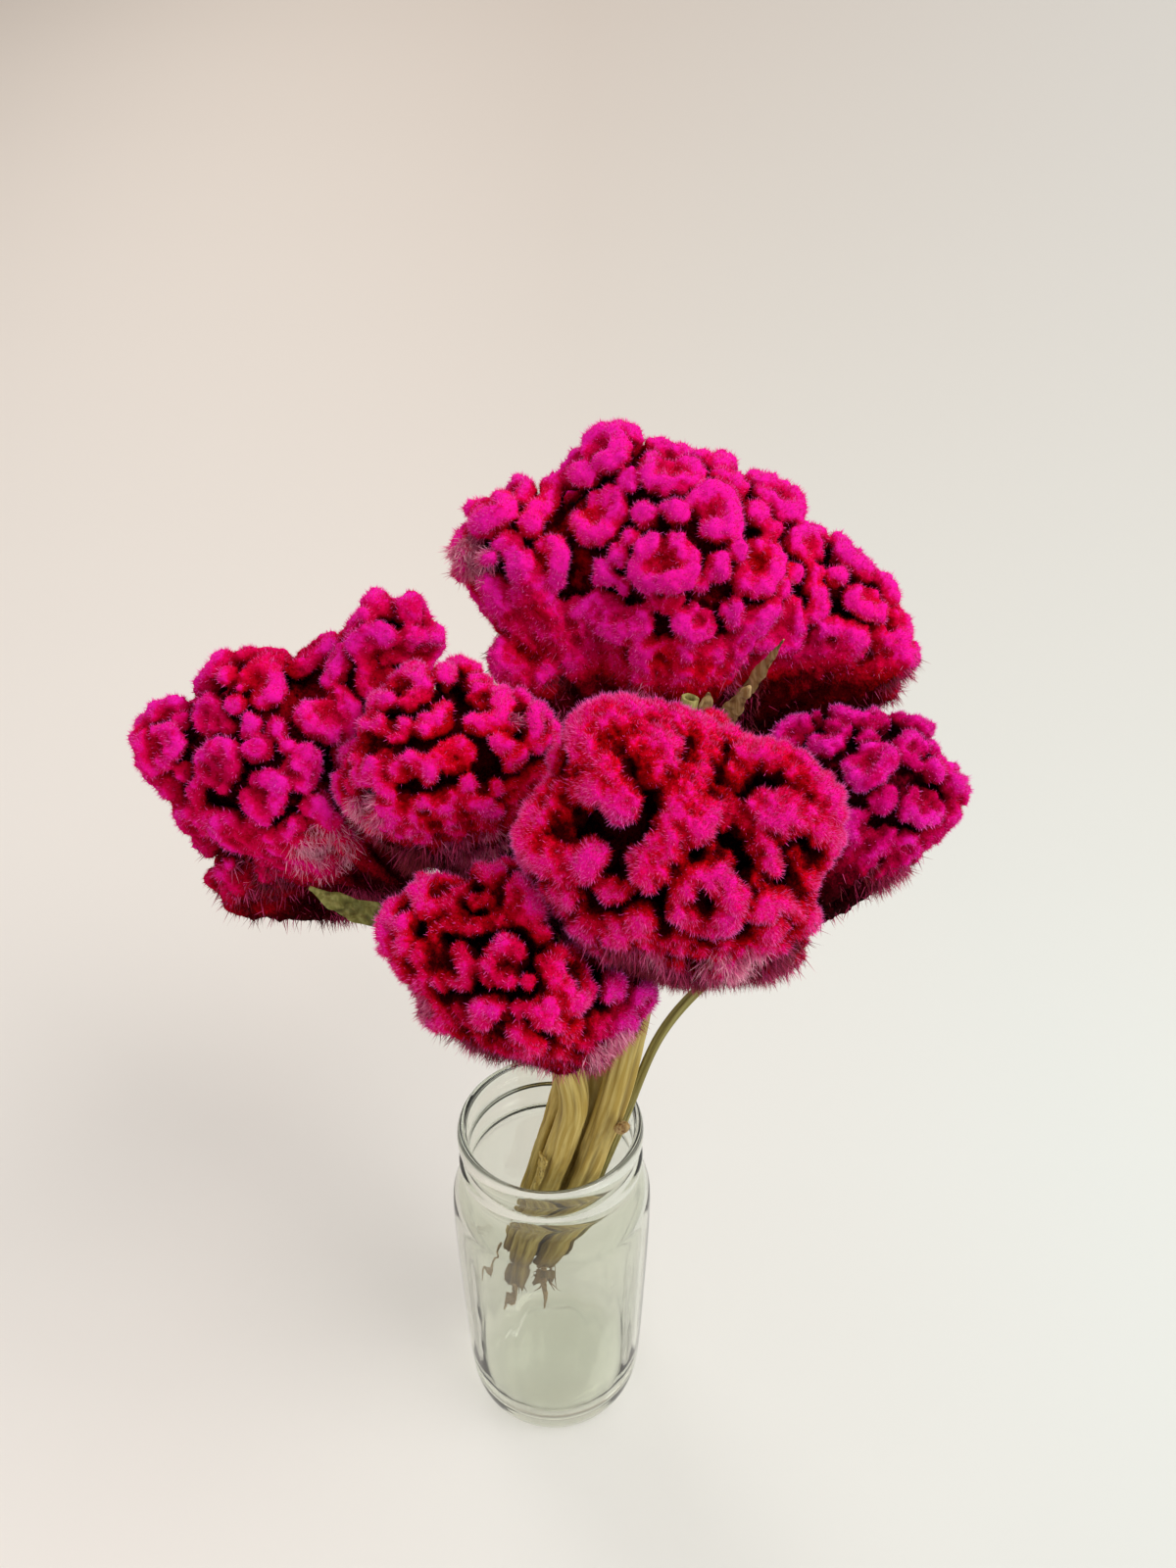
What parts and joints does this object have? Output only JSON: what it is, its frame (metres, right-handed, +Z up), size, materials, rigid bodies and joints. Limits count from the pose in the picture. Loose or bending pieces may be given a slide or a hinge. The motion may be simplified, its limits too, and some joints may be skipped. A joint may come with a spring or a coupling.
{
  "type": "dried cockscomb in a jar",
  "caption": "Bunch of dried cockscomb, with velvety magenta crests on straw-coloured stems, standing in a clear glass jar.",
  "frame": {"origin": "middle of the jar's flat underside, on the surface it stands on", "axes": "+Z up along the jar's axis, +X to the right-hand side of the bunch, -Y towards its front, where the stems lean out"},
  "size_m": [0.2469, 0.1868, 0.3488],
  "materials": {
    "glass": "gloss",
    "magenta_crest": "matte",
    "purple_crest": "matte",
    "dry_stem": "matte",
    "green_stem": "matte",
    "dry_leaf": "matte",
    "brown_bark": "matte"
  },
  "bodies": {
    "root": {"jar": "glass", "stem_front_low": "dry_stem", "stem_front": "dry_stem", "stem_middle_left": "dry_stem", "stem_back": "dry_stem", "stem_left": "dry_stem", "stem_right": "green_stem", "head_front": "magenta_crest", "head_front_low": "magenta_crest", "head_middle_left": "magenta_crest", "head_back": "magenta_crest", "head_left": "purple_crest", "head_right": "purple_crest", "leaf_under_left": "green_stem", "leaf_back_short": "dry_leaf", "leaf_back_long": "dry_leaf", "leaf_back_thin": "dry_leaf", "cut_stub": "green_stem", "side_bud": "dry_leaf", "bark_strip_mouth": "brown_bark", "bark_strip_left": "brown_bark", "bark_strip_foot": "brown_bark", "bark_strip_inner": "brown_bark"}
  },
  "joints": []
}
